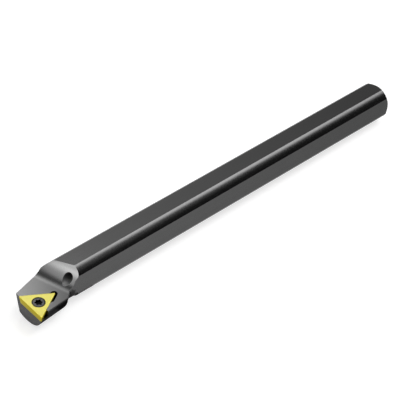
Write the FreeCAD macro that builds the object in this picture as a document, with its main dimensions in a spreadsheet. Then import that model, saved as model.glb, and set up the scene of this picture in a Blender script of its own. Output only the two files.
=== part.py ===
import FreeCAD, Part
import math
import os

import Sketcher

# A right-hand boring bar for a lathe, in three pieces: a steel bar, a triangular
# indexable insert of coated carbide and the screw that holds it.
# Frame: the origin is the centre of the bar's rear end, +X runs along the bar to
# the cutting end, +Y is the side the cutting nose reaches out to, and +Z is up,
# the side that the insert's top faces. The nose is at centre height, Z = 0.

# The driving sizes, in millimetres and degrees
SIZES = {
    # Shank
    "shank_diameter": 12.7,
    "bar_length": 160.0,        # rear end to cutting nose
    "flats_across": 11.1,       # over two opposite flats
    "rear_chamfer": 0.8,
    "flat_stop": 16.0,          # nose to the end of the side and bottom flats
    "runout_angle": 75.0,       # slope at the end of those flats
    "neck_relief": 0.35,        # shank diameter to neck diameter
    "neck_aside": 0.123,        # bar axis to the neck's own axis, away from the nose
    "neck_raise": 0.125,        # and upwards
    "neck_length": 17.5,        # nose to the shank's front shoulder
    "neck_slope": 0.8,          # length of the cone from shank to neck
    # Head, turned about the axis of the smallest bore it can enter
    "nose_reach": 9.525,        # bar axis to cutting nose
    "smallest_bore": 15.88,
    "head_clearance": 0.7,      # head to the wall of that bore, at the nose
    "head_back_angle": 4.2,     # the head narrows towards the neck
    "shoulder_place": 11.25,    # nose to the corner where the head starts
    "shoulder_angle": 38.0,
    "shoulder_round": 1.5,
    "back_angle": 13.5,         # taper of the head's back side
    "back_setback": 0.46,       # nose to the back side's front corner, along the bar
    "back_depth": 2.53,         # bar axis to that corner
    "approach_angle": 91.0,     # front cutting edge to the feed direction
    "front_setback": 0.15,      # cutting edge to the head's front face
    "front_relief_angle": 7.0,
    # Chip space above the insert
    "inclination_angle": 9.0,   # the rake plane drops towards the nose side
    "gullet_place": 12.4,       # nose to where the rake plane starts to rise
    "gullet_skew_angle": 17.8,
    "gullet_radius": 8.1,
    "gullet_ramp_angle": 57.0,
    # Insert
    "inscribed_circle": 6.35,
    "insert_thickness": 2.38,
    "nose_radius": 0.2,
    "insert_relief_angle": 7.0,
    "insert_hole": 2.8,
    "hole_mouth": 4.15,
    "hole_cone_angle": 60.0,
    "insert_proud": 0.05,       # insert top above the rake plane round it
    # Insert seat
    "wall_gap": 0.03,           # insert flank to seat wall
    "land_stop": 3.2,           # nose to the end of the seat's outer wall
    "relief_radius": 1.1,
    "relief_inset": 0.3,
    "relief_start": 0.45,
    "relief_run": 2.55,
    "relief_depth": 0.5,        # below the seat
    # Screw
    "screw_diameter": 2.5,
    "screw_length": 6.3,
    "screw_gap": 0.05,          # screw shank to the wall of its hole
    "screw_tip": 0.3,
    "cone_gap": 0.02,           # screw head to the insert's cone
    "head_diameter": 3.45,
    "head_rim": 0.5,            # straight rim above the head's cone
    "socket_points": 2.65,
    "socket_waist": 1.93,
    "socket_lobe": 0.21,
    "socket_depth": 0.9,
    # Coolant way
    "bore_diameter": 4.0,
    "bore_stop": 24.0,          # nose to the end of the bore's full width
    "bore_chamfer": 0.5,
    "drill_point_angle": 118.0,
    "jet_diameter": 3.0,
    "jet_place": 15.5,          # nose to a point on the jet's axis, in the gullet
    "jet_side": 3.19,
    "jet_height": 2.28,
    "jet_yaw_angle": 24.8,      # towards the nose side
    "jet_rise_angle": 8.0,
    "jet_run": 9.5,             # from that point back into the bore
    # Room that a cutting outline takes past the material
    "spare": 6.0,
}

LOBES = 6
TOUCH = 0.001                   # closer than this, a point lies on a face
CORNER_ANGLE = 60.0             # each corner of the insert

doc = FreeCAD.newDocument("boring_bar")
sheet = doc.addObject("Spreadsheet::Sheet", "Sizes")
for row, (alias, number) in enumerate(SIZES.items(), start=1):
    sheet.set(f"A{row}", alias.replace("_", " "))
    sheet.set(f"B{row}", str(number))
    sheet.setAlias(f"B{row}", alias)
doc.recompute()

# Places and sizes that follow from the sheet, as expressions
NOSE_X = "Sizes.bar_length"
NOSE_Y = "Sizes.nose_reach"
HALF_FLATS = "(Sizes.flats_across / 2)"
FLAT_END = "(Sizes.bar_length - Sizes.flat_stop)"
NECK_RADIUS = "((Sizes.shank_diameter - Sizes.neck_relief) / 2)"
HEAD_AXIS = "(Sizes.nose_reach - Sizes.smallest_bore / 2)"
HEAD_RADIUS = "(Sizes.smallest_bore / 2 - Sizes.head_clearance)"
SINK = "((Sizes.hole_mouth - Sizes.head_diameter) / 2 / tan(Sizes.hole_cone_angle / 2))"
SEAT_DEPTH = "(Sizes.insert_thickness - Sizes.insert_proud)"
# Insert centre from the nose point, in the plane of the insert's top
FRONT_EDGE = "(360 - Sizes.approach_angle)"
BISECTOR = f"({FRONT_EDGE} - {CORNER_ANGLE / 2})"
SIDE_EDGE = f"({FRONT_EDGE} - {CORNER_ANGLE})"
CENTRE_RUN = "(Sizes.inscribed_circle - 2 * Sizes.nose_radius)"
CENTRE_X = f"({CENTRE_RUN} * cos({BISECTOR}) - Sizes.nose_radius)"
CENTRE_Y = f"({CENTRE_RUN} * sin({BISECTOR}) - Sizes.nose_radius)"
# Planes through the nose point: level with the rake plane, and across the gullet
RAKE_TILT = "rotation(vector(1; 0; 0); -Sizes.inclination_angle)"
NOSE_POINT = f"vector({NOSE_X}; {NOSE_Y}; 0)"
RAKE_PLANE = f"placement({NOSE_POINT}; {RAKE_TILT})"
GULLET_PLANE = (
    f"placement({NOSE_POINT}; {RAKE_TILT} * rotation(vector(0; 0; 1); Sizes.gullet_skew_angle)"
    " * rotation(vector(1; 0; 0); 90))"
)
FRONT_PLANE = (
    f"{RAKE_PLANE} * placement(vector(-Sizes.front_setback; 0; 0);"
    " rotation(vector(0; 0; 1); 90 - Sizes.approach_angle) * rotation(vector(1; 0; 0); 90))"
)
# The insert's centre, with X from its back corner to its cutting corner
INSERT_CENTRE = (
    f"{RAKE_PLANE} * placement(vector({CENTRE_X}; {CENTRE_Y}; 0);"
    f" rotation(vector(0; 0; 1); {SIDE_EDGE} - 180))"
)
JET_LEVEL = "Sizes.spare * cos(Sizes.jet_rise_angle)"
JET_PLANE = (
    f"placement(vector({NOSE_X} - Sizes.jet_place + {JET_LEVEL} * cos(Sizes.jet_yaw_angle);"
    f" Sizes.jet_side + {JET_LEVEL} * sin(Sizes.jet_yaw_angle);"
    " Sizes.jet_height + Sizes.spare * sin(Sizes.jet_rise_angle));"
    " rotation(vector(0; 0; 1); Sizes.jet_yaw_angle)"
    " * rotation(vector(0; 1; 0); 90 - Sizes.jet_rise_angle))"
)


def number(expression):
    """The value that an expression on the sheet has now."""
    return float(sheet.evalExpression(str(expression)))


def add_body(label):
    """An empty body for one piece of the tool."""
    body = doc.addObject("PartDesign::Body", label)
    body.Label = label
    return body


def origin_plane(body, role):
    """One of the body's own three base planes."""
    return next(item for item in body.Origin.OriginFeatures if item.Role == role)


def add_sketch(body, name, role="XY_Plane", place=None):
    """A sketch on a base plane, moved to a place given by an expression."""
    sketch = body.newObject("Sketcher::SketchObject", name)
    sketch.AttachmentSupport = [(origin_plane(body, role), "")]
    sketch.MapMode = "FlatFace"
    if place:
        sketch.setExpression("AttachmentOffset", place)
    return sketch


def bind(sketch, kind, *where, size):
    """A dimension of the sketch, tied to an expression."""
    index = sketch.addConstraint(Sketcher.Constraint(kind, *where, number(size)))
    sketch.setExpression(f"Constraints[{index}]", str(size))


class Outline:
    """A closed outline of lines and arcs, each corner bound to the sheet."""

    def __init__(self, sketch, x, y):
        self.sketch = sketch
        self.first = None
        self.last = None
        self.corner = (x, y)
        self.start = (x, y)

    def _point(self, corner):
        return FreeCAD.Vector(number(corner[0]), number(corner[1]), 0)

    def _join(self, index, begin, end, corner):
        """Tie a new piece to the one before it and place its far end."""
        if self.last is None:
            self.first = (index, begin)
            self._place(index, begin, self.corner)
        else:
            self.sketch.addConstraint(Sketcher.Constraint("Coincident", *self.last, index, begin))
        self.last = (index, end)
        self.corner = corner

    def _place(self, index, vertex, corner):
        bind(self.sketch, "DistanceX", -1, 1, index, vertex, size=corner[0])
        bind(self.sketch, "DistanceY", -1, 1, index, vertex, size=corner[1])

    def line(self, x, y):
        """A straight run to the corner x, y."""
        segment = Part.LineSegment(self._point(self.corner), self._point((x, y)))
        index = self.sketch.addGeometry(segment)
        self._join(index, 1, 2, (x, y))
        self._place(index, 2, (x, y))
        return self

    def arc(self, x, y, radius, left=True):
        """An arc to x, y that turns left, or right, by less than half a turn."""
        begin, end = self._point(self.corner), self._point((x, y))
        middle, chord = (begin + end) / 2, end - begin
        across = FreeCAD.Vector(-chord.y, chord.x, 0).normalize()
        rise = math.sqrt(max(number(radius) ** 2 - (chord.Length / 2) ** 2, 0))
        centre = middle + across * (rise if left else -rise)
        circle = Part.Circle(centre, FreeCAD.Vector(0, 0, 1), number(radius))
        turn = [math.atan2(point.y - centre.y, point.x - centre.x) for point in (begin, end)]
        if not left:
            turn.reverse()
        index = self.sketch.addGeometry(Part.ArcOfCircle(circle, *turn))
        near, far = (1, 2) if left else (2, 1)
        self._join(index, near, far, (x, y))
        self._place(index, far, (x, y))
        bind(self.sketch, "Radius", index, size=radius)
        return self

    def close(self):
        """The last straight run, back to the start."""
        segment = Part.LineSegment(self._point(self.corner), self._point(self.start))
        index = self.sketch.addGeometry(segment)
        self._join(index, 1, 2, self.start)
        self.sketch.addConstraint(Sketcher.Constraint("Coincident", *self.last, *self.first))
        return self.sketch


def circle(sketch, x, y, diameter):
    """A round outline bound to the sheet."""
    centre = FreeCAD.Vector(number(x), number(y), 0)
    shape = Part.Circle(centre, FreeCAD.Vector(0, 0, 1), number(diameter) / 2)
    index = sketch.addGeometry(shape)
    bind(sketch, "DistanceX", -1, 1, index, 3, size=x)
    bind(sketch, "DistanceY", -1, 1, index, 3, size=y)
    bind(sketch, "Diameter", index, size=diameter)
    return sketch


def feature(body, kind, name, sketch, **settings):
    """A PartDesign feature on a sketch; settings that are text are expressions."""
    item = body.newObject(f"PartDesign::{kind}", name)
    item.Profile = sketch
    sketch.Visibility = False
    for key, setting in settings.items():
        if isinstance(setting, str) and key not in ("Type", "SideType"):
            item.setExpression(key, setting)
        else:
            setattr(item, key, setting)
    doc.recompute()
    return item


def turned(body, kind, name, sketch):
    """A full turn of a sketch about the sketch's own X axis."""
    return feature(body, kind, name, sketch, ReferenceAxis=(sketch, ["H_Axis"]), Angle=360.0)


def shaft_and_neck(body):
    """The turned blank with its rear chamfer, then the neck, turned off centre to clear a bore."""
    radius = "(Sizes.shank_diameter / 2)"
    blank = Outline(add_sketch(body, "blank_outline"), 0, 0)
    blank.line(0, f"{radius} - Sizes.rear_chamfer")
    blank.line("Sizes.rear_chamfer", radius)
    blank.line(NOSE_X, radius)
    blank.line(NOSE_X, 0)
    turned(body, "Revolution", "blank", blank.close())
    shoulder = "(Sizes.bar_length - Sizes.neck_length)"
    far = f"({radius} + Sizes.spare)"
    deepest = f"({radius} + sqrt(Sizes.neck_aside ^ 2 + Sizes.neck_raise ^ 2))"
    place = "placement(vector(0; -Sizes.neck_aside; Sizes.neck_raise); rotation(vector(0; 0; 1); 0))"
    outline = Outline(add_sketch(body, "neck_outline", place=place), shoulder, deepest)
    outline.line(f"{shoulder} + Sizes.neck_slope", NECK_RADIUS)
    outline.line(f"{NOSE_X} + Sizes.spare", NECK_RADIUS)
    outline.line(f"{NOSE_X} + Sizes.spare", far)
    outline.line(shoulder, far)
    turned(body, "Groove", "neck", outline.close())


def flats(body):
    """Four flats: top and back run into the head, bottom and nose side stop short."""
    far = "(Sizes.shank_diameter / 2 + Sizes.spare)"
    runout = f"({far} - {HALF_FLATS}) / tan(Sizes.runout_angle)"
    for name, role, stopped, through in (
        ("top_and_bottom", "XZ_Plane", -1, 1),
        ("nose_and_back", "XY_Plane", 1, -1),
    ):
        sketch = add_sketch(body, f"{name}_outline", role)
        short = Outline(sketch, "-Sizes.spare", f"{stopped} * {HALF_FLATS}")
        short.line(FLAT_END, f"{stopped} * {HALF_FLATS}")
        short.line(f"{FLAT_END} + {runout}", f"{stopped} * {far}")
        short.line("-Sizes.spare", f"{stopped} * {far}")
        short.close()
        long = Outline(sketch, "-Sizes.spare", f"{through} * {HALF_FLATS}")
        long.line(f"{NOSE_X} + Sizes.spare", f"{through} * {HALF_FLATS}")
        long.line(f"{NOSE_X} + Sizes.spare", f"{through} * {far}")
        long.line("-Sizes.spare", f"{through} * {far}")
        long.close()
        feature(body, "Pocket", name, sketch, SideType="Symmetric", Length=f"2 * {far}")


def head(body):
    """The head, turned about its own axis, with its shoulder towards the neck."""
    steep, slim = "tan(Sizes.shoulder_angle)", "tan(Sizes.head_back_angle)"
    corner_x = f"({NOSE_X} - Sizes.shoulder_place)"
    corner_r = f"({HEAD_RADIUS} - Sizes.shoulder_place * {slim})"
    tangent = "(Sizes.shoulder_round * tan((Sizes.shoulder_angle - Sizes.head_back_angle) / 2))"
    root_r = f"({NECK_RADIUS} / 2)"
    root_x = f"({corner_x} - ({corner_r} - {root_r}) / {steep})"
    place = f"placement(vector(0; {HEAD_AXIS}; 0); rotation(vector(0; 0; 1); 0))"
    outline = Outline(add_sketch(body, "head_outline", place=place), root_x, 0)
    outline.line(root_x, root_r)
    outline.line(f"{corner_x} - {tangent} * cos(Sizes.shoulder_angle)",
                 f"{corner_r} - {tangent} * sin(Sizes.shoulder_angle)")
    outline.arc(f"{corner_x} + {tangent} * cos(Sizes.head_back_angle)",
                f"{corner_r} + {tangent} * sin(Sizes.head_back_angle)",
                "Sizes.shoulder_round", left=False)
    outline.line(NOSE_X, HEAD_RADIUS)
    outline.line(NOSE_X, 0)
    turned(body, "Revolution", "head", outline.close())


def head_sides(body):
    """The tapered back side, then the front face below the cutting edge."""
    slope = "tan(Sizes.back_angle)"
    corner_x = f"({NOSE_X} - Sizes.back_setback)"
    wide = f"({HALF_FLATS} + Sizes.spare)"
    rear_x = f"({corner_x} - ({wide} - Sizes.back_depth) / {slope})"
    back = Outline(add_sketch(body, "back_outline"), rear_x, f"-{wide}")
    back.line(f"{NOSE_X} + Sizes.spare", f"-{wide}")
    back.line(f"{NOSE_X} + Sizes.spare",
              f"-Sizes.back_depth + (Sizes.back_setback + Sizes.spare) * {slope}")
    feature(body, "Pocket", "back_side", back.close(), SideType="Symmetric",
            Length="4 * Sizes.shank_diameter")
    relief, tall = "tan(Sizes.front_relief_angle)", "Sizes.shank_diameter"
    front = Outline(add_sketch(body, "front_outline", place=FRONT_PLANE),
                    f"-{tall} * {relief}", f"-{tall}")
    front.line("Sizes.spare", f"-{tall}")
    front.line("Sizes.spare", tall)
    front.line(f"{tall} * {relief}", tall)
    feature(body, "Pocket", "front_face", front.close(), SideType="Symmetric",
            Length="4 * Sizes.shank_diameter")


def gullet(body):
    """The rake plane and the hollow that rises from it to the top flat."""
    radius, ramp, height = "Sizes.gullet_radius", "Sizes.gullet_ramp_angle", "Sizes.shank_diameter"
    start = "(-Sizes.gullet_place)"
    top_x = f"({start} - {radius} * sin({ramp}))"
    top_y = f"({radius} * (1 - cos({ramp})))"
    front = "(Sizes.shank_diameter + Sizes.spare)"
    outline = Outline(add_sketch(body, "gullet_outline", place=GULLET_PLANE), front, 0)
    outline.line(front, height)
    outline.line(f"{top_x} - ({height} - {top_y}) / tan({ramp})", height)
    outline.line(top_x, top_y)
    outline.arc(start, 0, radius)
    feature(body, "Pocket", "gullet", outline.close(), SideType="Symmetric",
            Length="6 * Sizes.shank_diameter")


def lifted(place, height):
    """A place moved along its own Z."""
    return f"{place} * placement(vector(0; 0; {height}); rotation(vector(0; 0; 1); 0))"


def insert_outline(sketch, inner, side):
    """An equal-sided triangle: its back corner and two walls at a distance from the centre."""
    back = f"(-{inner} / tan({CORNER_ANGLE / 2}))"
    outline = Outline(sketch, back, inner)
    outline.line(f"{back} + {side} * cos({CORNER_ANGLE})", f"{inner} - {side} * sin({CORNER_ANGLE})")
    outline.line(f"{back} + {side}", inner)
    return outline.close()


def lean(body, base, outline, name):
    """Tilt the walls that stand on an outline's edges, so that they close in with depth."""
    edges = [[vertex.Point for vertex in edge.Vertexes] for edge in outline.Shape.Edges]
    walls = []
    for index, face in enumerate(base.Shape.Faces, start=1):
        if not isinstance(face.Surface, Part.Plane):
            continue
        normal, corner = face.normalAt(0, 0), face.Vertexes[0].Point
        held = [all(abs((end - corner).dot(normal)) < TOUCH for end in ends) for ends in edges]
        if all(held):
            level = f"Face{index}"
        elif any(held):
            walls.append(f"Face{index}")
    tilted = body.newObject("PartDesign::Draft", name)
    tilted.Base = (base, walls)
    tilted.NeutralPlane = (base, [level])
    tilted.Reversed = True
    tilted.setExpression("Angle", "Sizes.insert_relief_angle")
    doc.recompute()
    return tilted


def slot(sketch, begin, end, side, radius):
    """A round-ended slot along the sketch's X."""
    up = FreeCAD.Vector(0, 0, 1)
    ends = [FreeCAD.Vector(number(x), number(side), 0) for x in (begin, end)]
    lift = FreeCAD.Vector(0, number(radius), 0)
    rounds = [Part.Circle(point, up, number(radius)) for point in ends]
    near = sketch.addGeometry(Part.ArcOfCircle(rounds[0], math.pi / 2, 3 * math.pi / 2))
    far = sketch.addGeometry(Part.ArcOfCircle(rounds[1], -math.pi / 2, math.pi / 2))
    top = sketch.addGeometry(Part.LineSegment(ends[0] + lift, ends[1] + lift))
    base = sketch.addGeometry(Part.LineSegment(ends[0] - lift, ends[1] - lift))
    for joint in ((near, 1, top, 1), (near, 2, base, 1), (far, 1, base, 2), (far, 2, top, 2)):
        sketch.addConstraint(Sketcher.Constraint("Tangent", *joint))
    sketch.addConstraint(Sketcher.Constraint("Equal", near, far))
    bind(sketch, "DistanceX", -1, 1, near, 3, size=begin)
    bind(sketch, "DistanceY", -1, 1, near, 3, size=side)
    bind(sketch, "DistanceX", -1, 1, far, 3, size=end)
    bind(sketch, "DistanceY", -1, 1, far, 3, size=side)
    bind(sketch, "Radius", near, size=radius)
    return sketch


def insert_seat(body):
    """The seat: two leaning walls, an open front, a relieved corner and a screw hole."""
    inner = "(Sizes.inscribed_circle / 2 - Sizes.insert_proud * tan(Sizes.insert_relief_angle)"
    inner += " + Sizes.wall_gap)"
    walls = add_sketch(body, "seat_outline", place=INSERT_CENTRE)
    insert_outline(walls, inner, "(2 * Sizes.inscribed_circle + Sizes.spare)")
    seat = feature(body, "Pocket", "seat", walls, Length=SEAT_DEPTH)
    lean(body, seat, walls, "seat_walls")

    # The outer wall stops short of the nose, so nothing stands beside it
    land = Outline(add_sketch(body, "land_outline", place=RAKE_PLANE),
                   "-Sizes.land_stop", "-Sizes.land_stop")
    land.line("Sizes.spare", "-Sizes.land_stop")
    land.line("Sizes.spare", "Sizes.spare")
    land.line("-Sizes.land_stop", "Sizes.spare")
    feature(body, "Pocket", "nose_relief", land.close(), Length=SEAT_DEPTH)

    # The insert's unused corner stands free in a slot along the outer wall
    first = f"(-Sizes.inscribed_circle / 2 / tan({CORNER_ANGLE / 2}) + Sizes.relief_start)"
    corner = slot(add_sketch(body, "corner_outline", place=INSERT_CENTRE),
                  first, f"{first} + Sizes.relief_run",
                  "Sizes.inscribed_circle / 2 - Sizes.relief_inset", "Sizes.relief_radius")
    feature(body, "Pocket", "corner_relief", corner, Length=f"{SEAT_DEPTH} + Sizes.relief_depth")

    hole = circle(add_sketch(body, "screw_hole_outline", place=INSERT_CENTRE), 0, 0,
                  "Sizes.screw_diameter + 2 * Sizes.screw_gap")
    feature(body, "Pocket", "screw_hole", hole, Type="ThroughAll")


def coolant_way(body):
    """The bore from the rear end, and the jet hole from it into the gullet."""
    radius = "(Sizes.bore_diameter / 2)"
    stop = f"({NOSE_X} - Sizes.bore_stop)"
    bore = Outline(add_sketch(body, "bore_outline"), 0, 0)
    bore.line(0, f"{radius} + Sizes.bore_chamfer")
    bore.line("Sizes.bore_chamfer", radius)
    bore.line(stop, radius)
    bore.line(f"{stop} + {radius} / tan(Sizes.drill_point_angle / 2)", 0)
    turned(body, "Groove", "coolant_bore", bore.close())
    jet = circle(add_sketch(body, "jet_outline", place=JET_PLANE), 0, 0, "Sizes.jet_diameter")
    feature(body, "Pocket", "jet_hole", jet, Length="Sizes.spare + Sizes.jet_run")


def build_bar():
    """The bar: one piece of steel, from the rear end to the insert seat."""
    body = add_body("bar_body")
    shaft_and_neck(body)
    flats(body)
    head(body)
    head_sides(body)
    gullet(body)
    insert_seat(body)
    coolant_way(body)
    return body


def build_insert():
    """The insert: a triangle with leaning flanks, rounded corners and a conical hole."""
    body = add_body("cutting_insert")
    inner = "(Sizes.inscribed_circle / 2)"
    side = f"(2 * {inner} / tan({CORNER_ANGLE / 2}))"
    face = insert_outline(add_sketch(body, "face_outline"), inner, side)
    blank = feature(body, "Pad", "blank", face, Length="Sizes.insert_thickness", Reversed=True)
    flanks = lean(body, blank, face, "flanks")
    edges = flanks.Shape.Edges
    slanted = [f"Edge{n}" for n, edge in enumerate(edges, start=1) if edge.BoundBox.ZLength > TOUCH]
    corners = body.newObject("PartDesign::Fillet", "corners")
    corners.Base = (flanks, slanted)
    corners.setExpression("Radius", "Sizes.nose_radius")
    mouth, waist = "(Sizes.hole_mouth / 2)", "(Sizes.insert_hole / 2)"
    hole = Outline(add_sketch(body, "hole_outline", "XZ_Plane"), 0, 0)
    hole.line(mouth, 0)
    hole.line(waist, f"-({mouth} - {waist}) / tan(Sizes.hole_cone_angle / 2)")
    hole.line(waist, "-Sizes.insert_thickness")
    hole.line(0, "-Sizes.insert_thickness")
    sketch = hole.close()
    feature(body, "Groove", "hole", sketch, ReferenceAxis=(sketch, ["V_Axis"]), Angle=360.0)
    body.setExpression("Placement", lifted(INSERT_CENTRE, "Sizes.insert_proud"))
    return body


def build_screw():
    """The clamping screw: a conical head with a six-lobe socket, and a plain shank."""
    body = add_body("insert_screw")
    wide, slim = "(Sizes.head_diameter / 2)", "(Sizes.screw_diameter / 2)"
    turned_form = Outline(add_sketch(body, "screw_outline", "XZ_Plane"), 0, 0)
    turned_form.line(wide, 0)
    turned_form.line(wide, "-Sizes.head_rim")
    turned_form.line(slim, f"-Sizes.head_rim - ({wide} - {slim}) / tan(Sizes.hole_cone_angle / 2)")
    turned_form.line(slim, "Sizes.screw_tip - Sizes.screw_length")
    turned_form.line(f"{slim} - Sizes.screw_tip", "-Sizes.screw_length")
    turned_form.line(0, "-Sizes.screw_length")
    sketch = turned_form.close()
    feature(body, "Revolution", "blank", sketch, ReferenceAxis=(sketch, ["V_Axis"]), Angle=360.0)

    # One sixth of the socket: a lobe between two hollow arcs that it meets smoothly
    half = 180 / LOBES
    lobe_x = "(Sizes.socket_points / 2 - Sizes.socket_lobe)"
    waist = "(Sizes.socket_waist / 2)"
    across = f"({lobe_x} * cos({half}))"
    hollow = (
        f"(({lobe_x} ^ 2 + {waist} ^ 2 - 2 * {waist} * {across} - Sizes.socket_lobe ^ 2)"
        f" / (2 * (Sizes.socket_lobe - {waist} + {across})))"
    )
    share = f"(Sizes.socket_lobe / ({hollow} + Sizes.socket_lobe))"
    meet_x = f"({lobe_x} + {share} * (({waist} + {hollow}) * cos({half}) - {lobe_x}))"
    meet_y = f"({share} * ({waist} + {hollow}) * sin({half}))"
    low_x, low_y = f"({waist} * cos({half}))", f"({waist} * sin({half}))"
    lobe = Outline(add_sketch(body, "lobe_outline"), 0, 0)
    lobe.line(low_x, f"-{low_y}")
    lobe.arc(meet_x, f"-{meet_y}", hollow, left=False)
    lobe.arc(meet_x, meet_y, "Sizes.socket_lobe")
    lobe.arc(low_x, low_y, hollow, left=False)
    cut = feature(body, "Pocket", "lobe", lobe.close(), Length="Sizes.socket_depth")
    ring = body.newObject("PartDesign::PolarPattern", "socket")
    ring.Originals = [cut]
    ring.Axis = (origin_plane(body, "Z_Axis"), [""])
    ring.Angle = 360.0
    ring.Occurrences = LOBES
    body.Tip = ring
    sunk = f"{SINK} - Sizes.head_rim - Sizes.cone_gap / sin(Sizes.hole_cone_angle / 2)"
    body.setExpression("Placement", lifted(INSERT_CENTRE, f"Sizes.insert_proud - ({sunk})"))
    return body


def check(pieces):
    """Stop at a failed object, an unsound shape or a cut that removes nothing."""
    for item in doc.Objects:
        if {"Invalid", "Error"} & set(item.State):
            raise RuntimeError(f"{item.Label} did not build")
    for body in pieces:
        if body.Shape.isNull() or not body.Shape.isValid() or len(body.Shape.Solids) != 1:
            raise RuntimeError(f"{body.Label} is not one sound solid")
        for item in body.Group:
            if item.TypeId in ("PartDesign::Pocket", "PartDesign::Groove"):
                if item.Shape.Volume >= item.BaseFeature.Shape.Volume:
                    raise RuntimeError(f"{item.Label} removes nothing")


pieces = [build_bar(), build_insert(), build_screw()]
doc.recompute()
check(pieces)
os.makedirs("parts", exist_ok=True)
for body in pieces:
    body.Shape.exportStep(f"parts/{body.Label}.step")
    print(body.Label, round(body.Shape.Volume, 2), "mm3")
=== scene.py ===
"""A right-hand boring bar for a lathe: dark steel bar, yellow coated insert and black screw.

Every size in the dataclasses is in millimetres and every angle in degrees; Blender's own
units are metres.
"""

import logging
import math
from dataclasses import dataclass, field
from enum import Enum

import bmesh
import bpy
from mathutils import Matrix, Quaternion, Vector


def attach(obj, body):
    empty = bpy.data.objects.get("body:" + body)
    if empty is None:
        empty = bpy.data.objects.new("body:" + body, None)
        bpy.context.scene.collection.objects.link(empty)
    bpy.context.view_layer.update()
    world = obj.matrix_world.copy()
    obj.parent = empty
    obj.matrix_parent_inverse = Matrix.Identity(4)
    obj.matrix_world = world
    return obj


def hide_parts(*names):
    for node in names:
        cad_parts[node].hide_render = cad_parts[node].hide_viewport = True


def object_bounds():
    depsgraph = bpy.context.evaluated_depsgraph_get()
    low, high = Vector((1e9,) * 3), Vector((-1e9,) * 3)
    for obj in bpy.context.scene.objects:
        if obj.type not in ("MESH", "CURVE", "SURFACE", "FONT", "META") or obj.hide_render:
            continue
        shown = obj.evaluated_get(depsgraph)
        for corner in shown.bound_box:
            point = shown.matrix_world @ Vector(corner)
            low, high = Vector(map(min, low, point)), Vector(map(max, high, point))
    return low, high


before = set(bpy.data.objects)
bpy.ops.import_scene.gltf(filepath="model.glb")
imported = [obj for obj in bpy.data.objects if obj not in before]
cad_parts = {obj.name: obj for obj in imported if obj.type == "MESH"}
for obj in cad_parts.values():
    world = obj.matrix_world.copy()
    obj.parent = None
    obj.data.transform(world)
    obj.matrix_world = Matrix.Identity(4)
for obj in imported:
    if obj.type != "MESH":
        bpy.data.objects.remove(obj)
CAD_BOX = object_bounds()

MM = 0.001
WELD = 0.001            # points closer than this are one
ON_SURFACE = 0.003      # a point this near a round lies on it
CHORD_SAG = 0.06        # the middle of a coarse face lies less than this inside its round
SQUARE = 0.99           # the cosine past which a face counts as square to an axis
WHITE = (1.0, 1.0, 1.0, 1.0)
NOISE_SPAN = (0.3, 0.7)  # most of a noise pattern's values lie between these
SCREW_POINT = Vector((156.736, 4.212, 0.339))   # on the screw's axis, inside its head
SCREW_AXIS = Vector((0, 0.156434, 0.987688))    # square to the rake plane
BODY = "root"
LOG = logging.getLogger("boring_bar")


def linear(hex_colour: str) -> tuple[float, float, float, float]:
    """Turn an sRGB hex colour into linear light.

    Args:
        hex_colour: Six hex digits after a hash.

    Returns:
        The linear red, green and blue, with an alpha of one.
    """
    channels = [int(hex_colour[i : i + 2], 16) / 255 for i in (1, 3, 5)]
    light = [c / 12.92 if c <= 0.04045 else ((c + 0.055) / 1.055) ** 2.4 for c in channels]
    return (*light, 1.0)


def add_node(
    tree: bpy.types.NodeTree, kind: str, inputs: dict | None = None, **settings: object
) -> bpy.types.Node:
    """Add a node to a shader or geometry tree, with its settings and links.

    Args:
        tree: The tree that gets the node.
        kind: Blender's name for the node's type.
        inputs: Socket names or numbers, each with a value or the socket that feeds it.
        **settings: Properties of the node itself.

    Returns:
        The new node.
    """
    node = tree.nodes.new(kind)
    for name, value in settings.items():
        setattr(node, name, value)
    for key, value in (inputs or {}).items():
        if isinstance(value, bpy.types.NodeSocket):
            tree.links.new(value, node.inputs[key])
        else:
            node.inputs[key].default_value = value
    return node


def new_material(name: str) -> tuple[bpy.types.Material, bpy.types.NodeTree, bpy.types.Node]:
    """Make an empty node material.

    Args:
        name: The material's name.

    Returns:
        The material, its tree and its output node.
    """
    material = bpy.data.materials.new(name)
    material.use_nodes = True
    tree = material.node_tree
    tree.nodes.clear()
    return material, tree, tree.nodes.new("ShaderNodeOutputMaterial")


class Lay(Enum):
    """The way that a cutting or grinding tool's marks run over a surface."""

    ROUND_THE_BAR = (1.0, 0.02, 0.02)
    ALONG_THE_BAR = (0.02, 1.0, 1.0)
    EVERY_WAY = (1.0, 1.0, 1.0)


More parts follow.
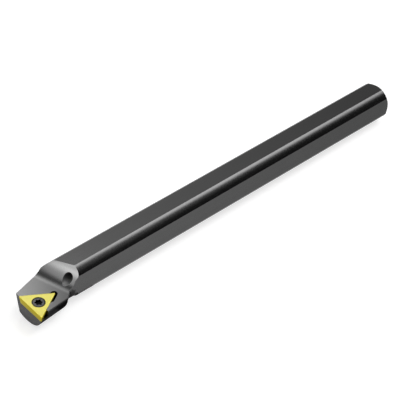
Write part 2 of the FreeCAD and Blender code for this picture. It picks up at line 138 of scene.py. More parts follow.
@dataclass(frozen=True)
class BurnishedSteel:
    """Hardened tool steel, machined and then blackened in a hot salt bath.

    The thin oxide leaves the metal's own reflections and makes them dark grey, so a surface
    shows its machining marks as fine, slightly brighter and duller lines. Real marks are a few
    hundredths of a millimetre apart, and are drawn coarser here so that they show.
    """

    name: str
    lay: Lay
    colour: str = "#525252"
    worn_colour: str = "#565656"
    roughness: float = 0.24
    roughness_swing: float = 0.02
    mark_width: float = 0.55
    mark_depth: float = 0.0012
    mark_strength: float = 0.35
    blotch_width: float = 14.0

    def material(self) -> bpy.types.Material:
        """Build the material.

        Returns:
            The finished node material.
        """
        material, tree, output = new_material(self.name)
        place = add_node(tree, "ShaderNodeTexCoord")
        scale = [share / (self.mark_width * MM) for share in self.lay.value]
        stretched = add_node(
            tree, "ShaderNodeMapping", {"Vector": place.outputs["Object"], "Scale": scale}
        )
        marks = add_node(
            tree,
            "ShaderNodeTexNoise",
            {"Vector": stretched.outputs["Vector"], "Scale": 1.0, "Detail": 3.0, "Roughness": 0.6},
        )
        blotch = add_node(
            tree,
            "ShaderNodeTexNoise",
            {"Vector": place.outputs["Object"], "Scale": 1 / (self.blotch_width * MM), "Detail": 2.0},
        )
        colour = add_node(
            tree,
            "ShaderNodeMix",
            {"Factor": blotch.outputs["Fac"], 6: linear(self.colour), 7: linear(self.worn_colour)},
            data_type="RGBA",
        )
        rough = add_node(
            tree,
            "ShaderNodeMapRange",
            {
                "Value": marks.outputs["Fac"],
                "From Min": NOISE_SPAN[0],
                "From Max": NOISE_SPAN[1],
                "To Min": self.roughness - self.roughness_swing,
                "To Max": self.roughness + self.roughness_swing,
            },
        )
        bump = add_node(
            tree,
            "ShaderNodeBump",
            {
                "Height": marks.outputs["Fac"],
                "Strength": self.mark_strength,
                "Distance": self.mark_depth * MM,
            },
        )
        surface = add_node(
            tree,
            "ShaderNodeBsdfPrincipled",
            {
                "Base Color": colour.outputs[2],
                "Metallic": 1.0,
                "Roughness": rough.outputs["Result"],
                "Normal": bump.outputs["Normal"],
            },
        )
        tree.links.new(surface.outputs["BSDF"], output.inputs["Surface"])
        return material


@dataclass(frozen=True)
class CoatedCarbide:
    """Sintered carbide under a thin bright yellow nitride coating, left as it was coated.

    The coating is smooth with a faint grain from the carbide below, and it reads as a
    strong yellow with a soft sheen. The carbide's grains are a few thousandths of a millimetre
    wide, and are drawn coarser here so that they show.
    """

    name: str = "coated_carbide"
    colour: str = "#f4ea64"
    deep_colour: str = "#eee25c"
    roughness: float = 0.38
    metallic: float = 0.0
    grain: float = 0.25
    grain_depth: float = 0.002
    grain_strength: float = 0.2

    def material(self) -> bpy.types.Material:
        """Build the material.

        Returns:
            The finished node material.
        """
        material, tree, output = new_material(self.name)
        place = add_node(tree, "ShaderNodeTexCoord")
        grain = add_node(
            tree,
            "ShaderNodeTexNoise",
            {"Vector": place.outputs["Object"], "Scale": 1 / (self.grain * MM), "Detail": 4.0},
        )
        colour = add_node(
            tree,
            "ShaderNodeMix",
            {"Factor": grain.outputs["Fac"], 6: linear(self.colour), 7: linear(self.deep_colour)},
            data_type="RGBA",
        )
        bump = add_node(
            tree,
            "ShaderNodeBump",
            {
                "Height": grain.outputs["Fac"],
                "Strength": self.grain_strength,
                "Distance": self.grain_depth * MM,
            },
        )
        surface = add_node(
            tree,
            "ShaderNodeBsdfPrincipled",
            {
                "Base Color": colour.outputs[2],
                "Metallic": self.metallic,
                "Roughness": self.roughness,
                "Normal": bump.outputs["Normal"],
            },
        )
        tree.links.new(surface.outputs["BSDF"], output.inputs["Surface"])
        return material


def weld(mesh: bpy.types.Mesh) -> None:
    """Join a mesh's loose triangles and drop the normals that came with them.

    Args:
        mesh: The mesh, in metres.
    """
    if "custom_normal" in mesh.attributes:
        mesh.attributes.remove(mesh.attributes["custom_normal"])
    form = bmesh.new()
    form.from_mesh(mesh)
    bmesh.ops.remove_doubles(form, verts=form.verts, dist=WELD * MM)
    form.to_mesh(mesh)
    form.free()


def welded_copy(node: str, name: str) -> bpy.types.Object:
    """Copy a CAD node into a new piece with joined faces.

    Args:
        node: The CAD node's name.
        name: The new piece's name.

    Returns:
        The new object, linked to the scene.
    """
    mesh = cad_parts[node].data.copy()
    mesh.name = name
    mesh.materials.clear()
    weld(mesh)
    piece = bpy.data.objects.new(name, mesh)
    bpy.context.scene.collection.objects.link(piece)
    return piece


def bearing(azimuth: float, elevation: float) -> Vector:
    """The direction towards an azimuth, from +X towards +Y, and an elevation, in degrees."""
    turn, lift = math.radians(azimuth), math.radians(elevation)
    return Vector((math.cos(turn) * math.cos(lift), math.sin(turn) * math.cos(lift), math.sin(lift)))


@dataclass(frozen=True)
class Round:
    """A cylinder or cone that some faces of a mesh follow.

    Attributes:
        point: A point on the axis, in millimetres.
        axis: The axis's direction.
        radius: The radius at the point.
        slope: How fast the radius grows along the axis.
    """

    point: Vector
    axis: Vector
    radius: float
    slope: float = 0.0

    def offset(self, place: Vector) -> float:
        """Measure how far a place lies from the surface.

        Args:
            place: The place, in millimetres.

        Returns:
            The distance in millimetres, below zero inside.
        """
        along = (place - self.point).dot(self.axis)
        out = place - self.point - self.axis * along
        return (out.length - self.radius - self.slope * along) / math.hypot(1, self.slope)

    def normal(self, place: Vector) -> Vector:
        """Find the direction straight out of the surface.

        Args:
            place: A place near the surface, in millimetres.

        Returns:
            The direction there, of length one.
        """
        along = (place - self.point).dot(self.axis)
        out = (place - self.point - self.axis * along).normalized()
        return (out - self.axis * self.slope).normalized()

    def bends(self, start: Vector, end: Vector) -> bool:
        """Whether an edge, given by its ends, is a chord of the surface."""
        on_it = all(abs(self.offset(place)) < ON_SURFACE for place in (start, end))
        return on_it and ON_SURFACE < abs(self.offset((start + end) / 2)) < CHORD_SAG

    def holds(self, corners: list[Vector], centre: Vector) -> bool:
        """Whether a flat face, given by its corners and middle, follows the surface."""
        on_it = all(abs(self.offset(corner)) < ON_SURFACE for corner in corners)
        return on_it and abs(self.offset(centre)) < CHORD_SAG


def refine_rounds(mesh: bpy.types.Mesh, rounds: list[Round], passes: int = 2, pushes: int = 4) -> None:
    """Split the chords of a welded mesh's round surfaces and push the new points out to them.

    Args:
        mesh: The mesh, in metres.
        rounds: The surfaces that its coarse faces stand for.
        passes: How often each chord is halved.
        pushes: How often a new point is pushed out to each round that it lies on.
    """
    for _ in range(passes):
        form = bmesh.new()
        form.from_mesh(mesh)
        chords = []
        for edge in form.edges:
            ends = [vertex.co / MM for vertex in edge.verts]
            bent = [surface for surface in rounds if surface.bends(*ends)]
            if bent:
                chords.append((edge, bent))
        for edge, bent in chords:
            _, vertex = bmesh.utils.edge_split(edge, edge.verts[0], 0.5)
            spot = vertex.co / MM
            for _ in range(pushes):
                for surface in bent:
                    spot -= surface.normal(spot) * surface.offset(spot)
            vertex.co = spot * MM
        bmesh.ops.triangulate(form, faces=[face for face in form.faces if len(face.verts) > 3])
        form.to_mesh(mesh)
        form.free()


def shade_rounds(mesh: bpy.types.Mesh, rounds: list[Round], flat_angle: float = 20.0) -> None:
    """Shade a welded mesh smoothly, with true normals on its known round surfaces.

    Args:
        mesh: The mesh, in metres.
        rounds: The surfaces whose faces get exact normals.
        flat_angle: Edges that turn more than this stay sharp, in degrees.
    """
    mesh.shade_smooth()
    mesh.set_sharp_from_angle(angle=math.radians(flat_angle))
    normals = [Vector(corner.vector) for corner in mesh.corner_normals]
    places = [vertex.co / MM for vertex in mesh.vertices]
    for face in mesh.polygons:
        spots = [places[index] for index in face.vertices]
        centre = face.center / MM
        for surface in rounds:
            if not surface.holds(spots, centre):
                continue
            side = 1 if surface.normal(centre).dot(face.normal) > 0 else -1
            for loop, spot in zip(face.loop_indices, spots):
                normals[loop] = surface.normal(spot) * side
            break
    mesh.normals_split_custom_set(normals)


@dataclass
class BarBody:
    """The steel bar: its shape is the CAD node's, and its finish changes from part to part."""

    shank_radius: float = 6.35
    neck_radius: float = 6.175
    neck_centre: Vector = field(default_factory=lambda: Vector((0, -0.123, 0.125)))
    flat_height: float = 5.55
    length: float = 160.0
    shank_end: float = 142.5
    neck_slope: float = 0.8
    nose_reach: float = 9.525
    head_axis: float = 1.585
    head_radius: float = 7.24
    head_angle: float = 4.2
    inclination: float = 9.0
    gullet_place: float = 12.4
    gullet_skew: float = 17.8
    gullet_radius: float = 8.1
    bore_radius: float = 2.0
    jet_point: Vector = field(default_factory=lambda: Vector((144.5, 3.19, 2.28)))
    jet_yaw: float = 24.8
    jet_rise: float = 8.0
    jet_radius: float = 1.5
    piece: bpy.types.Object = field(init=False)

    def build(self) -> None:
        """Copy the node and shade it."""
        self.piece = welded_copy("bar_body", "bar_body_dressed")
        along, centre = Vector((1, 0, 0)), Vector((0, 0, 0))
        nose = Vector((self.length, self.nose_reach, 0))
        tilt = Quaternion(along, -math.radians(self.inclination))
        turn = Quaternion(Vector((0, 0, 1)), math.radians(self.gullet_skew))
        run = tilt @ turn @ along
        up = tilt @ Vector((0, 0, 1))
        deepest = self.shank_radius + self.neck_centre.length
        rounds = [
            Round(centre, along, self.shank_radius),
            Round(self.neck_centre, along, self.neck_radius),
            Round(centre, along, self.bore_radius),
            Round(
                Vector((self.shank_end, 0, 0)) + self.neck_centre,
                along,
                deepest,
                (self.neck_radius - deepest) / self.neck_slope,
            ),
            Round(
                Vector((self.length, self.head_axis, 0)),
                along,
                self.head_radius,
                math.tan(math.radians(self.head_angle)),
            ),
            Round(
                nose - run * self.gullet_place + up * self.gullet_radius,
                run.cross(up),
                self.gullet_radius,
            ),
            self.jet(),
        ]
        refine_rounds(self.piece.data, rounds)
        shade_rounds(self.piece.data, rounds)

    def jet(self) -> Round:
        """The wall of the coolant jet's hole."""
        return Round(self.jet_point, bearing(self.jet_yaw, self.jet_rise), self.jet_radius)

    def dress(self) -> None:
        """Give the rounds, the flats and the machined head their own finish."""
        for finish in (
            # Round the shank the grinding marks run round it, and on the flats along them
            BurnishedSteel("burnished_steel_round_ground", Lay.ROUND_THE_BAR),
            BurnishedSteel("burnished_steel_flat_ground", Lay.ALONG_THE_BAR),
            # The milled head is finer and evener, without a grain
            BurnishedSteel(
                "burnished_steel_milled", Lay.EVERY_WAY, roughness_swing=0.01, mark_depth=0.0005
            ),
            # The jet's drilled wall is rough, and its grey is lighter than the bar's as painted light
            # inside the hole
            BurnishedSteel(
                "drilled_steel_painted_light",
                Lay.EVERY_WAY,
                colour="#8c8c8c",
                worn_colour="#949494",
                roughness=0.6,
                mark_depth=0.0004,
            ),
        ):
            self.piece.data.materials.append(finish.material())
        for face in self.piece.data.polygons:
            face.material_index = self.zone(face)

    def zone(self, face: bpy.types.MeshPolygon) -> int:
        """Which finish a face has.

        Args:
            face: A face of the piece.

        Returns:
            The number of its material: 0 round, 1 flat, 2 milled, 3 drilled.
        """
        centre = face.center / MM
        corners = [self.piece.data.vertices[index].co / MM for index in face.vertices]
        if self.jet().holds(corners, centre):
            return 3
        out = math.hypot(centre.y, centre.z)
        level = max(abs(face.normal.y), abs(face.normal.z)) > SQUARE
        if level and abs(max(abs(centre.y), abs(centre.z)) - self.flat_height) < ON_SURFACE:
            return 1
        if centre.x < self.shank_end and out > self.flat_height:
            return 0
        return 2

    def place(self) -> None:
        """Let the piece stand for its CAD node."""
        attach(self.piece, BODY)
        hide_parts("bar_body")


@dataclass
class CuttingInsert:
    """The triangular insert, with its top edges honed round."""

    # A round just outside the hole's mouth
    hole: Round = field(default_factory=lambda: Round(SCREW_POINT, SCREW_AXIS, 2.1))
    rim: float = 0.3
    hone: float = 0.06
    sharp_angle: float = 40.0
    piece: bpy.types.Object = field(init=False)

    def is_cutting(self, edge: bmesh.types.BMEdge) -> bool:
        """Tell whether an edge bounds the insert's top on the outside.

        Args:
            edge: An edge of the insert's mesh.

        Returns:
            Whether it is one of the outer edges of the top.
        """
        up = self.hole.axis
        tops = [face for face in edge.link_faces if face.normal.dot(up) > SQUARE]
        outer = all(self.hole.offset(vertex.co / MM) > self.rim for vertex in edge.verts)
        return len(tops) == 1 and outer

    def build(self) -> None:
        """Copy the node, hone its cutting edges and shade it."""
        self.piece = welded_copy("cutting_insert", "cutting_insert_dressed")
        form = bmesh.new()
        form.from_mesh(self.piece.data)
        edges = [edge for edge in form.edges if self.is_cutting(edge)]
        bmesh.ops.bevel(form, geom=edges, offset=self.hone * MM, segments=2, affect="EDGES", profile=0.5)
        form.to_mesh(self.piece.data)
        form.free()
        self.piece.data.shade_smooth()
        self.piece.data.set_sharp_from_angle(angle=math.radians(self.sharp_angle))
        for face in self.piece.data.polygons:
            face.use_smooth = abs(face.normal.dot(self.hole.axis)) < SQUARE

    def dress(self) -> None:
        """Give the top its bright coating, the flanks a darker copy of it as painted shade, and the hole
        a near-black as painted shade.
        """
        for finish in (
            CoatedCarbide(),
            # The ground flanks shine through their coating, so they mirror the floor in gold; their gold
            # is darker than the top's as painted shade
            CoatedCarbide("coated_carbide_flank_painted_shade", "#d5c32a", "#c9b726", metallic=1.0),
            # The hole's wall is painted nearly black as painted shade for the dark gap round the screw
            # head
            CoatedCarbide("insert_hole_painted_shade", "#141413", "#1a1a19", roughness=0.5),
        ):
            self.piece.data.materials.append(finish.material())
        up = self.hole.axis
        for face in self.piece.data.polygons:
            level = abs(face.normal.dot(up)) > SQUARE
            inside = self.hole.offset(face.center / MM) < 0
            face.material_index = 0 if level else 2 if inside else 1

    def place(self) -> None:
        """Let the piece stand for its CAD node."""
        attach(self.piece, BODY)
        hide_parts("cutting_insert")


@dataclass
class ThreadedShank:
    """A metric thread on its core, made by geometry nodes along +Z from the origin.

    A grid is wound round the axis: its long side runs along the helix and its short side
    across one pitch, so that neighbouring turns meet in the root. The first and last turns
    rise out of the core, over a share of a pitch.
    """

    length: float = 4.7
    pitch: float = 0.45
    outer_radius: float = 1.24
    depth: float = 0.27
    root_share: float = 0.25
    crest_share: float = 0.125
    full_after: float = 0.7
    end_sink: float = 0.03
    core_gap: float = 0.01
    steps: int = 24
    across: int = 16

    def inputs(self) -> dict[str, float]:
        """Name the tree's inputs.

        Returns:
            Each input's name with its value, lengths in metres.
        """
        core = self.outer_radius - self.depth
        return {
            "Turns": self.length / self.pitch - 1,
            "Pitch": self.pitch * MM,
            "Core Radius": core * MM,
            "Depth": self.depth * MM,
            "Length": self.length * MM,
        }

    def tree(self, material: bpy.types.Material) -> bpy.types.NodeTree:
        """Build the node tree that makes the thread.

        Args:
            material: The finish of the thread.

        Returns:
            The tree, with one named input for each of the thread's sizes.
        """
        tree = bpy.data.node_groups.new("wound_thread", "GeometryNodeTree")
        tree.interface.new_socket("Geometry", in_out="INPUT", socket_type="NodeSocketGeometry")
        for name in self.inputs():
            tree.interface.new_socket(name, in_out="INPUT", socket_type="NodeSocketFloat")
        tree.interface.new_socket("Geometry", in_out="OUTPUT", socket_type="NodeSocketGeometry")
        given = tree.nodes.new("NodeGroupInput").outputs

        def reckon(operation: str, *values: float | bpy.types.NodeSocket) -> bpy.types.NodeSocket:
            """Work out one value from others."""
            node = add_node(tree, "ShaderNodeMath", dict(enumerate(values)), operation=operation)
            return node.outputs[0]

        long_side = round(self.length / self.pitch * self.steps)
        grid = add_node(
            tree,
            "GeometryNodeMeshGrid",
            {"Size X": 1.0, "Size Y": 1.0, "Vertices X": long_side + 1, "Vertices Y": self.across + 1},
        )
        place = add_node(tree, "GeometryNodeInputPosition")
        spot = add_node(tree, "ShaderNodeSeparateXYZ", {0: place.outputs[0]})
        # The grid's sides run from -0.5 to 0.5: X becomes the turns and Y the share of a pitch
        turned = reckon("MULTIPLY", reckon("ADD", spot.outputs["X"], 0.5), given["Turns"])
        share = reckon("ADD", spot.outputs["Y"], 0.5)
        height = reckon("MULTIPLY", reckon("ADD", turned, share), given["Pitch"])
        # The flank rises from 0 in one root to 1 on the crest and falls again to the next root
        flank = reckon("SUBTRACT", 1.0, reckon("ABSOLUTE", reckon("MULTIPLY_ADD", share, 2.0, -1.0)))
        rise = add_node(
            tree,
            "ShaderNodeMapRange",
            {"Value": flank, "From Min": self.root_share, "From Max": 1 - self.crest_share},
        )
        # At both ends the thread fades into the core
        from_end = reckon("MINIMUM", height, reckon("SUBTRACT", given["Length"], height))
        fade = add_node(
            tree,
            "ShaderNodeMapRange",
            {
                "Value": reckon("DIVIDE", from_end, given["Pitch"]),
                "From Min": 1.0,
                "From Max": 1.0 + self.full_after,
            },
        ).outputs["Result"]
        tall = reckon("MULTIPLY", reckon("MULTIPLY", rise.outputs["Result"], given["Depth"]), fade)
        sunk = reckon("MULTIPLY", reckon("SUBTRACT", fade, 1.0), self.end_sink * MM)
        radius = reckon("ADD", reckon("ADD", given["Core Radius"], tall), sunk)
        angle = reckon("MULTIPLY", turned, math.tau)
        wound = add_node(
            tree,
            "ShaderNodeCombineXYZ",
            {
                "X": reckon("MULTIPLY", radius, reckon("COSINE", angle)),
                "Y": reckon("MULTIPLY", radius, reckon("SINE", angle)),
                "Z": height,
            },
        )
        thread = add_node(
            tree,
            "GeometryNodeSetPosition",
            {"Geometry": grid.outputs["Mesh"], "Position": wound.outputs[0]},
        )
        core = add_node(
            tree,
            "GeometryNodeMeshCylinder",
            {
                "Vertices": 2 * self.steps,
                "Radius": reckon("SUBTRACT", given["Core Radius"], self.core_gap * MM),
                "Depth": given["Length"],
            },
        )
        middle = add_node(tree, "ShaderNodeCombineXYZ", {"Z": reckon("MULTIPLY", given["Length"], 0.5)})
        raised = add_node(
            tree,
            "GeometryNodeTransform",
            {"Geometry": core.outputs["Mesh"], "Translation": middle.outputs[0]},
        )
        both = tree.nodes.new("GeometryNodeJoinGeometry")
        tree.links.new(thread.outputs["Geometry"], both.inputs[0])
        tree.links.new(raised.outputs["Geometry"], both.inputs[0])
        joined = add_node(
            tree, "GeometryNodeMergeByDistance", {"Geometry": both.outputs[0], "Distance": WELD * MM}
        )
        real = add_node(tree, "GeometryNodeRealizeInstances", {"Geometry": joined.outputs[0]})
        dressed = add_node(
            tree, "GeometryNodeSetMaterial", {"Geometry": real.outputs[0], "Material": material}
        )
        add_node(tree, "NodeGroupOutput", {"Geometry": dressed.outputs[0]})
        return tree

    def bake(self, material: bpy.types.Material) -> bpy.types.Mesh:
        """Run the tree once and keep its mesh.

        Args:
            material: The finish of the thread.

        Returns:
            The thread's plain mesh, in metres.
        """
        holder = bpy.data.objects.new("thread_holder", bpy.data.meshes.new("thread_holder"))
        bpy.context.scene.collection.objects.link(holder)
        modifier = holder.modifiers.new("thread", "NODES")
        modifier.node_group = self.tree(material)
        values = self.inputs()
        for socket in modifier.node_group.interface.items_tree:
            if socket.name in values:
                modifier[socket.identifier] = values[socket.name]
        graph = bpy.context.evaluated_depsgraph_get()
        mesh = bpy.data.meshes.new_from_object(holder.evaluated_get(graph), depsgraph=graph)
        holder.modifiers.remove(modifier)
        bpy.data.objects.remove(holder)
        return mesh


@dataclass
class InsertScrew:
    """The black screw: its six-lobe head is the CAD node's, and its shank gets a thread.

    Its heights are along its axis, from the point inside its head.
    """

    neck: float = -0.843
    tip: float = -5.82
    socket_radius: float = 1.34
    socket_depth: float = 0.9
    margin: float = 0.01
    sharp_angle: float = 25.0
    piece: bpy.types.Object = field(init=False)

    def height(self, place: Vector) -> float:
        """How high a place, in metres, lies along the screw's axis."""
        return (place / MM - SCREW_POINT).dot(SCREW_AXIS)

    def build(self) -> None:
        """Copy the node, cut its plain shank away and put the threaded one there."""
        # Cold-headed steel under a thick black oxide, darker and evener than the bar's
        finish = BurnishedSteel(
            "black_screw_steel", Lay.EVERY_WAY, colour="#343435", worn_colour="#3e3e3f"
        )
        material = finish.material()
        self.piece = welded_copy("insert_screw", "insert_screw_dressed")
        mesh = self.piece.data
        mesh.materials.append(material)
        form = bmesh.new()
        form.from_mesh(mesh)
        low = [vertex for vertex in form.verts if self.height(vertex.co) < self.neck - self.margin]
        bmesh.ops.delete(form, geom=low, context="VERTS")
        bmesh.ops.contextual_create(form, geom=[edge for edge in form.edges if edge.is_boundary])
        shank = ThreadedShank(length=self.neck - self.tip)
        thread = shank.bake(material)
        thread.transform(Vector((0, 0, 1)).rotation_difference(SCREW_AXIS).to_matrix().to_4x4())
        start = (SCREW_POINT + SCREW_AXIS * self.tip) * MM
        for vertex in thread.vertices:
            vertex.co += start
        form.from_mesh(thread)
        form.to_mesh(mesh)
        form.free()
        bpy.data.meshes.remove(thread)
        mesh.shade_smooth()
        mesh.set_sharp_from_angle(angle=math.radians(self.sharp_angle))

    def dress(self) -> None:
        """Give the socket a near-black as painted shade, and every other face the screw's own black
        steel.
        """
        mesh = self.piece.data
        # The socket's near-black, dull finish is painted shade for its deep recess
        dull = BurnishedSteel(
            "screw_socket_painted_shade", Lay.EVERY_WAY, colour="#19191a", worn_colour="#1f1f20", roughness=0.5
        )
        mesh.materials.append(dull.material())
        top = max(self.height(vertex.co) for vertex in mesh.vertices)
        socket = Round(SCREW_POINT, SCREW_AXIS, self.socket_radius)
        for face in mesh.polygons:
            sunk = self.margin < top - self.height(face.center) < self.socket_depth + self.margin
            face.material_index = 1 if sunk and socket.offset(face.center / MM) < 0 else 0

    def place(self) -> None:
        """Let the piece stand for its CAD node."""
        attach(self.piece, BODY)
        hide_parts("insert_screw")


@dataclass(frozen=True)
class Panel:
    """A flat panel that faces the bar: a softbox that fades towards its rim, or a black card.

    Attributes:
        name: The panel's name.
        azimuth: Its bearing from the bar, from +X towards +Y.
        elevation: The height of its middle above the horizon.
        distance: Its distance from the place that it faces.
        width: Its width.
        height: Its height.
        brightness: The light from its middle, where 1 is paper white.
        aim: The X of the place on the bar that it faces.
        core: The share of the panel that is fully bright.
        opaque: Whether it is a solid card or a glow.
        lights: Whether it lights dull surfaces too, or only shows in shiny ones.
    """

    name: str
    azimuth: float
    elevation: float
    distance: float
    width: float
    height: float
    brightness: float
    aim: float = 86.0
    core: float = 0.0
    opaque: bool = False
    lights: bool = True

    def build(self) -> None:
        """Make the panel."""
        mesh = bpy.data.meshes.new(self.name)
        x, y = self.width / 2 * MM, self.height / 2 * MM
        corners = [(-x, -y, 0), (x, -y, 0), (x, y, 0), (-x, y, 0)]
        mesh.from_pydata(corners, [], [(0, 1, 2, 3)])
        mesh.materials.append(self.material())
        panel = bpy.data.objects.new(self.name, mesh)
        bpy.context.scene.collection.objects.link(panel)
        out = bearing(self.azimuth, self.elevation)
        panel.location = (Vector((self.aim, 0, 0)) + out * self.distance) * MM
        panel.rotation_mode = "QUATERNION"
        panel.rotation_quaternion = out.to_track_quat("Z", "Y")
        panel.visible_camera = False
        panel.visible_shadow = False
        panel.visible_diffuse = self.lights

    def material(self) -> bpy.types.Material:
        """Make a cloth that is bright in the middle and fades to nothing at the rim.

        Returns:
            The finished node material.
        """
        material, tree, output = new_material(self.name + "_cloth")
        place = add_node(tree, "ShaderNodeTexCoord")
        scale = (2 / (self.width * MM), 2 / (self.height * MM), 0)
        spread = add_node(tree, "ShaderNodeMapping", {"Vector": place.outputs["Object"], "Scale": scale})
        radius = add_node(
            tree, "ShaderNodeVectorMath", {0: spread.outputs["Vector"]}, operation="LENGTH"
        )
        fade = add_node(
            tree,
            "ShaderNodeMapRange",
            {
                "Value": radius.outputs["Value"],
                "From Min": 1.0,
                "From Max": self.core,
                "To Min": 0.0,
                "To Max": self.brightness,
            },
            interpolation_type="SMOOTHSTEP",
        )
        cloth = add_node(
            tree, "ShaderNodeEmission", {"Color": WHITE, "Strength": fade.outputs["Result"]}
        )
        clear = add_node(tree, "ShaderNodeBsdfTransparent", {"Color": WHITE})
        both = add_node(tree, "ShaderNodeAddShader", {0: cloth.outputs[0], 1: clear.outputs[0]})
        surface = cloth if self.opaque else both
        tree.links.new(surface.outputs[0], output.inputs["Surface"])
        return material


@dataclass(frozen=True)
class FloorScrim:
    """A scrim just above the floor that dims the paper, and only in shiny surfaces.

    Attributes:
        name: The scrim's name.
        low: Its lowest X and Y.
        high: Its highest X and Y.
        start: The share of the light that it passes at its lowest X.
        end: The share of the light that it passes at its highest X.
        rim: The width over which it thins out.
        lift: Its height above the floor.
    """

    name: str
    low: tuple[float, float]
    high: tuple[float, float]
    start: float = 0.0
    end: float = 0.0
    rim: float = 4.0
    lift: float = 0.1

    def build(self) -> None:
        """Make the scrim."""
        mesh = bpy.data.meshes.new(self.name)
        level = CAD_BOX[0].z + self.lift * MM
        (x0, y0), (x1, y1) = self.low, self.high
        corners = [(x * MM, y * MM, level) for x, y in ((x0, y0), (x1, y0), (x1, y1), (x0, y1))]
        mesh.from_pydata(corners, [], [(0, 1, 2, 3)])
        mesh.materials.append(self.material())
        scrim = bpy.data.objects.new(self.name, mesh)
        bpy.context.scene.collection.objects.link(scrim)
        scrim.visible_camera = False
        scrim.visible_shadow = False
        scrim.visible_diffuse = False

    def material(self) -> bpy.types.Material:
        """Make a grey gauze that thins out towards its rim, and evenly from end to end.

        Returns:
            The finished node material.
        """
        material, tree, output = new_material(self.name + "_gauze")
        place = add_node(tree, "ShaderNodeTexCoord")
        split = add_node(tree, "ShaderNodeSeparateXYZ", {0: place.outputs["Object"]})
        inside = []
        for axis, low, high in zip("XY", self.low, self.high):
            middle, half = (low + high) / 2 * MM, (high - low) / 2 * MM
            off = add_node(
                tree, "ShaderNodeMath", {0: split.outputs[axis], 1: middle}, operation="SUBTRACT"
            )
            far = add_node(tree, "ShaderNodeMath", {0: off.outputs[0]}, operation="ABSOLUTE")
            inside.append(
                add_node(tree, "ShaderNodeMath", {0: half, 1: far.outputs[0]}, operation="SUBTRACT")
            )
        nearest = add_node(
            tree,
            "ShaderNodeMath",
            {0: inside[0].outputs[0], 1: inside[1].outputs[0]},
            operation="MINIMUM",
        )
        dense = add_node(
            tree,
            "ShaderNodeMapRange",
            {"Value": nearest.outputs[0], "From Max": self.rim * MM},
            interpolation_type="SMOOTHSTEP",
        )
        share = add_node(
            tree,
            "ShaderNodeMapRange",
            {
                "Value": split.outputs["X"],
                "From Min": self.low[0] * MM,
                "From Max": self.high[0] * MM,
                "To Min": self.start,
                "To Max": self.end,
            },
        )
        passed = add_node(
            tree,
            "ShaderNodeMapRange",
            {"Value": dense.outputs["Result"], "To Min": 1.0, "To Max": share.outputs["Result"]},
        )
        gauze = add_node(tree, "ShaderNodeBsdfTransparent", {"Color": passed.outputs["Result"]})
        tree.links.new(gauze.outputs[0], output.inputs["Surface"])
        return material


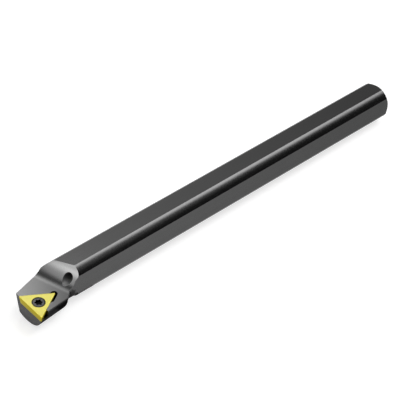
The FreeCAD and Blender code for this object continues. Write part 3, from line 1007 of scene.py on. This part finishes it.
@dataclass
class Studio:
    """The floor, the panels, the scrims, the surrounding light and the camera.

    The camera looks at the view point, and its azimuth is from -Y towards +X.
    """

    view_azimuth: float = 135.56
    view_elevation: float = 35.78
    view_distance: float = 495.98
    view_point: Vector = field(default_factory=lambda: Vector((86.435, -0.03, 0.0)))
    lens: float = 139.532
    clip: tuple[float, float] = (10.0, 20000.0)
    floor_half: float = 3000.0
    floor_colour: str = "#bcbcbc"
    ambient: float = 0.28
    floor_glow: float = 0.7
    # Most panels stand where the bar's flats, rounds and gullet mirror them towards the camera
    panels: tuple[Panel, ...] = (
        Panel("softbox_head", 228, 57, 152, 60, 100, 5.8, aim=154),
        Panel("softbox_top", 240, 44, 1500, 1500, 1500, 1.0),
        Panel("softbox_back", 160, 55, 1500, 900, 1300, 5.1, core=0.4),
        Panel("softbox_rim", 5.9, 29.3, 47.8, 37.5, 65, 5.4, aim=150, core=0.2, lights=False),
        Panel("softbox_front", 7.1, 58.7, 50.2, 37.5, 70, 2.6, aim=150, core=0.6, lights=False),
        Panel("softbox_key", 95, 60, 1500, 1000, 1000, 3.2, core=0.7),
        Panel("dark_card", 122, 8, 600, 1000, 580, 0.04, core=0.95, opaque=True, lights=False),
    )
    # The scrims dim what the shaded sides mirror: the neck, the head's side and the front face
    scrims: tuple[FloorScrim, ...] = (
        FloorScrim("scrim_back", (-60, -72), (161, -5), 0.55, 0.55),
        FloorScrim("scrim_neck", (139.8, -9), (150, 14), 0.18, 0.18, rim=1.0, lift=0.14),
        FloorScrim("scrim_under", (134, -9), (140.8, 8.8), 0.18, 0.18, rim=1.0, lift=0.3),
        FloorScrim("scrim_head", (141, -9), (160, 16), 0.1, 0.1, lift=0.18),
        FloorScrim("scrim_side", (-60, 4), (143, 70), 0.42, 1.0, lift=0.22),
        FloorScrim("scrim_front", (154, -34), (186, 14), 0.54, 0.54, lift=0.26),
    )

    def build(self) -> None:
        """Build the whole studio."""
        self.build_floor()
        self.build_surroundings()
        for stand in self.panels + self.scrims:
            stand.build()
        self.build_camera()
        bpy.context.scene.view_settings.view_transform = "Standard"

    def paper_ray(self, tree: bpy.types.NodeTree) -> bpy.types.NodeSocket:
        """Tell apart the rays that see the plain white background.

        Args:
            tree: The material's tree.

        Returns:
            A socket that is one for these rays and zero for the others.
        """
        rays = add_node(tree, "ShaderNodeLightPath")
        seen = add_node(
            tree,
            "ShaderNodeMath",
            {0: rays.outputs["Is Camera Ray"], 1: rays.outputs["Is Glossy Ray"]},
            operation="ADD",
        )
        return add_node(
            tree,
            "ShaderNodeMath",
            {0: seen.outputs[0], 1: rays.outputs["Is Transmission Ray"]},
            operation="ADD",
            use_clamp=True,
        ).outputs[0]

    def build_floor(self) -> None:
        """Lay a white paper floor, matt and even, under the lowest point of the object."""
        level = CAD_BOX[0].z
        half = self.floor_half * MM
        mesh = bpy.data.meshes.new("paper_floor")
        sides = ((-half, -half), (half, -half), (half, half), (-half, half))
        corners = [(x, y, level) for x, y in sides]
        mesh.from_pydata(corners, [], [(0, 1, 2, 3)])
        floor = bpy.data.objects.new("paper_floor", mesh)
        bpy.context.scene.collection.objects.link(floor)
        material, tree, output = new_material("white_paper")
        paper = add_node(tree, "ShaderNodeBsdfDiffuse", {"Color": linear(self.floor_colour)})
        strength = add_node(
            tree, "ShaderNodeMath", {0: self.paper_ray(tree), 1: self.floor_glow}, operation="MULTIPLY"
        )
        glow = add_node(tree, "ShaderNodeEmission", {"Color": WHITE, "Strength": strength.outputs[0]})
        both = add_node(tree, "ShaderNodeAddShader", {0: paper.outputs[0], 1: glow.outputs[0]})
        tree.links.new(both.outputs[0], output.inputs["Surface"])
        mesh.materials.append(material)

    def build_surroundings(self) -> None:
        """Fill the room with an even light."""
        world = bpy.data.worlds.new("white_room")
        bpy.context.scene.world = world
        world.use_nodes = True
        tree = world.node_tree
        tree.nodes.clear()
        light = add_node(tree, "ShaderNodeBackground", {"Color": WHITE, "Strength": self.ambient})
        output = add_node(tree, "ShaderNodeOutputWorld", {"Surface": light.outputs[0]})
        output.is_active_output = True

    def build_camera(self) -> None:
        """Set the camera at the photograph's viewing angle."""
        back = bearing(self.view_azimuth - 90, self.view_elevation)
        data = bpy.data.cameras.new("camera")
        data.lens = self.lens
        data.clip_start, data.clip_end = (distance * MM for distance in self.clip)
        camera = bpy.data.objects.new("camera", data)
        bpy.context.scene.collection.objects.link(camera)
        camera.location = (self.view_point + back * self.view_distance) * MM
        camera.rotation_mode = "QUATERNION"
        camera.rotation_quaternion = back.to_track_quat("Z", "Y")
        bpy.context.scene.camera = camera


def main() -> None:
    """Build, dress and place every piece, then the studio."""
    logging.basicConfig(level=logging.INFO, format="%(message)s")
    for part in (BarBody(), CuttingInsert(), InsertScrew()):
        part.build()
        part.dress()
        part.place()
        LOG.info("%s: %d faces", part.piece.name, len(part.piece.data.polygons))
    Studio().build()


if __name__ == "__main__":
    main()
